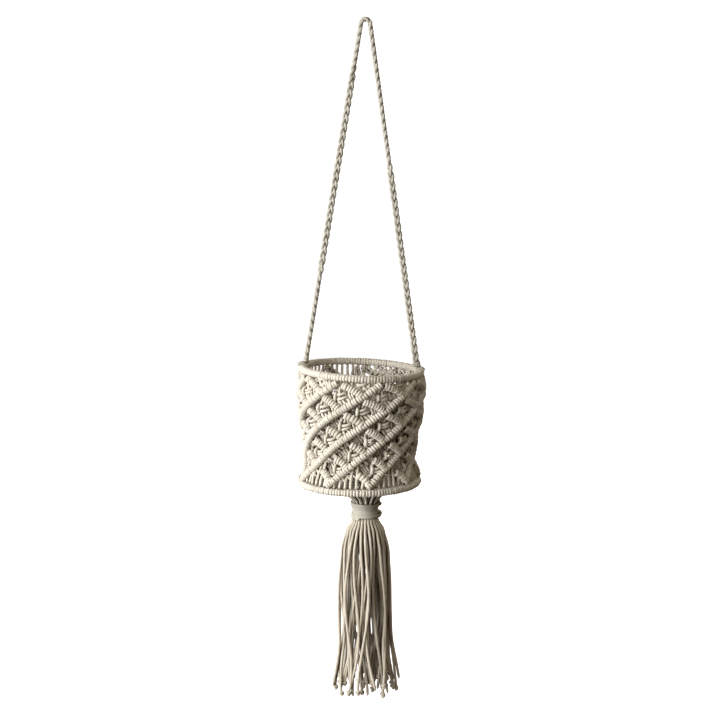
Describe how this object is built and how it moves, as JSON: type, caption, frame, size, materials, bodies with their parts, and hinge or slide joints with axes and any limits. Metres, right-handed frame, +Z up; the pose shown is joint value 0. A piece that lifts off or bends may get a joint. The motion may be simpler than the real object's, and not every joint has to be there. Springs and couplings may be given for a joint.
{
  "type": "hanging macrame planter",
  "caption": "Hanging planter of knotted cotton cord: plaited strap, wrapped top and bottom rings, net with spiral ridges, wrapped neck and long tassel.",
  "frame": {"origin": "inside of the strap's top bend, where a hook bears, on the line that the planter hangs from", "axes": "+Z up along the hanging line, +X to the right across the two strap legs, -Y the front"},
  "size_m": [0.1805, 0.1791, 0.9221],
  "materials": {
    "plaited_cord": "matt plaited natural cotton cord",
    "hitched_cord": "matt twisted cotton cord, hitched in close rows",
    "net_cord": "matt twisted cotton cord, knotted net",
    "tassel_cord": "matt twisted cotton cord, hanging ends",
    "ring_wire": "plain steel wire, covered by the wrapping"
  },
  "bodies": {
    "loop": {"strap_top_bend": "plaited_cord"},
    "strap": {"strap_leg_left": "plaited_cord", "strap_leg_right": "plaited_cord"},
    "basket": {"strap_tie_left": "plaited_cord", "strap_tie_right": "plaited_cord", "top_ring": "ring_wire", "top_ring_wrap": "hitched_cord", "bottom_ring": "ring_wire", "bottom_ring_wrap": "hitched_cord", "ridge_1": "hitched_cord", "ridge_2": "hitched_cord", "ridge_3": "hitched_cord", "ridge_4": "hitched_cord", "ridge_5": "hitched_cord", "ridge_6": "hitched_cord", "ridge_7": "hitched_cord", "ridge_8": "hitched_cord", "ridge_9": "hitched_cord", "net_panel_1": "net_cord", "net_panel_2": "net_cord", "net_panel_3": "net_cord", "net_panel_4": "net_cord", "net_panel_5": "net_cord", "net_panel_6": "net_cord", "net_panel_7": "net_cord", "net_panel_8": "net_cord", "net_panel_9": "net_cord", "base_web": "net_cord"},
    "neck": {"throat_cords": "hitched_cord", "neck_wrapping": "hitched_cord"},
    "tassel": {"tassel_core": "tassel_cord", "tassel_cord_01": "tassel_cord", "tassel_cord_02": "tassel_cord", "tassel_cord_03": "tassel_cord", "tassel_cord_04": "tassel_cord", "tassel_cord_05": "tassel_cord", "tassel_cord_06": "tassel_cord", "tassel_cord_07": "tassel_cord", "tassel_cord_08": "tassel_cord", "tassel_cord_09": "tassel_cord"}
  },
  "joints": [
    {"name": "strap_twist", "type": "hinge", "parent": "loop", "child": "strap", "pos_m": [0, 0, 0], "axis": [0, 0, 1], "range_deg": [-90, 90], "stiffness_Nm_per_rad": 0.004},
    {"name": "basket_tilt", "type": "hinge", "parent": "strap", "child": "basket", "pos_m": [-0.0055, 0, -0.4625], "axis": [0.999, 0, -0.0454], "range_deg": [-40, 40]},
    {"name": "tassel_swing_fore_aft", "type": "hinge", "parent": "basket", "child": "neck", "pos_m": [0, 0, -0.64], "axis": [1, 0, 0], "range_deg": [-30, 30]},
    {"name": "tassel_swing_side", "type": "hinge", "parent": "neck", "child": "tassel", "pos_m": [0, 0, -0.669], "axis": [0, 1, 0], "range_deg": [-30, 30]}
  ]
}
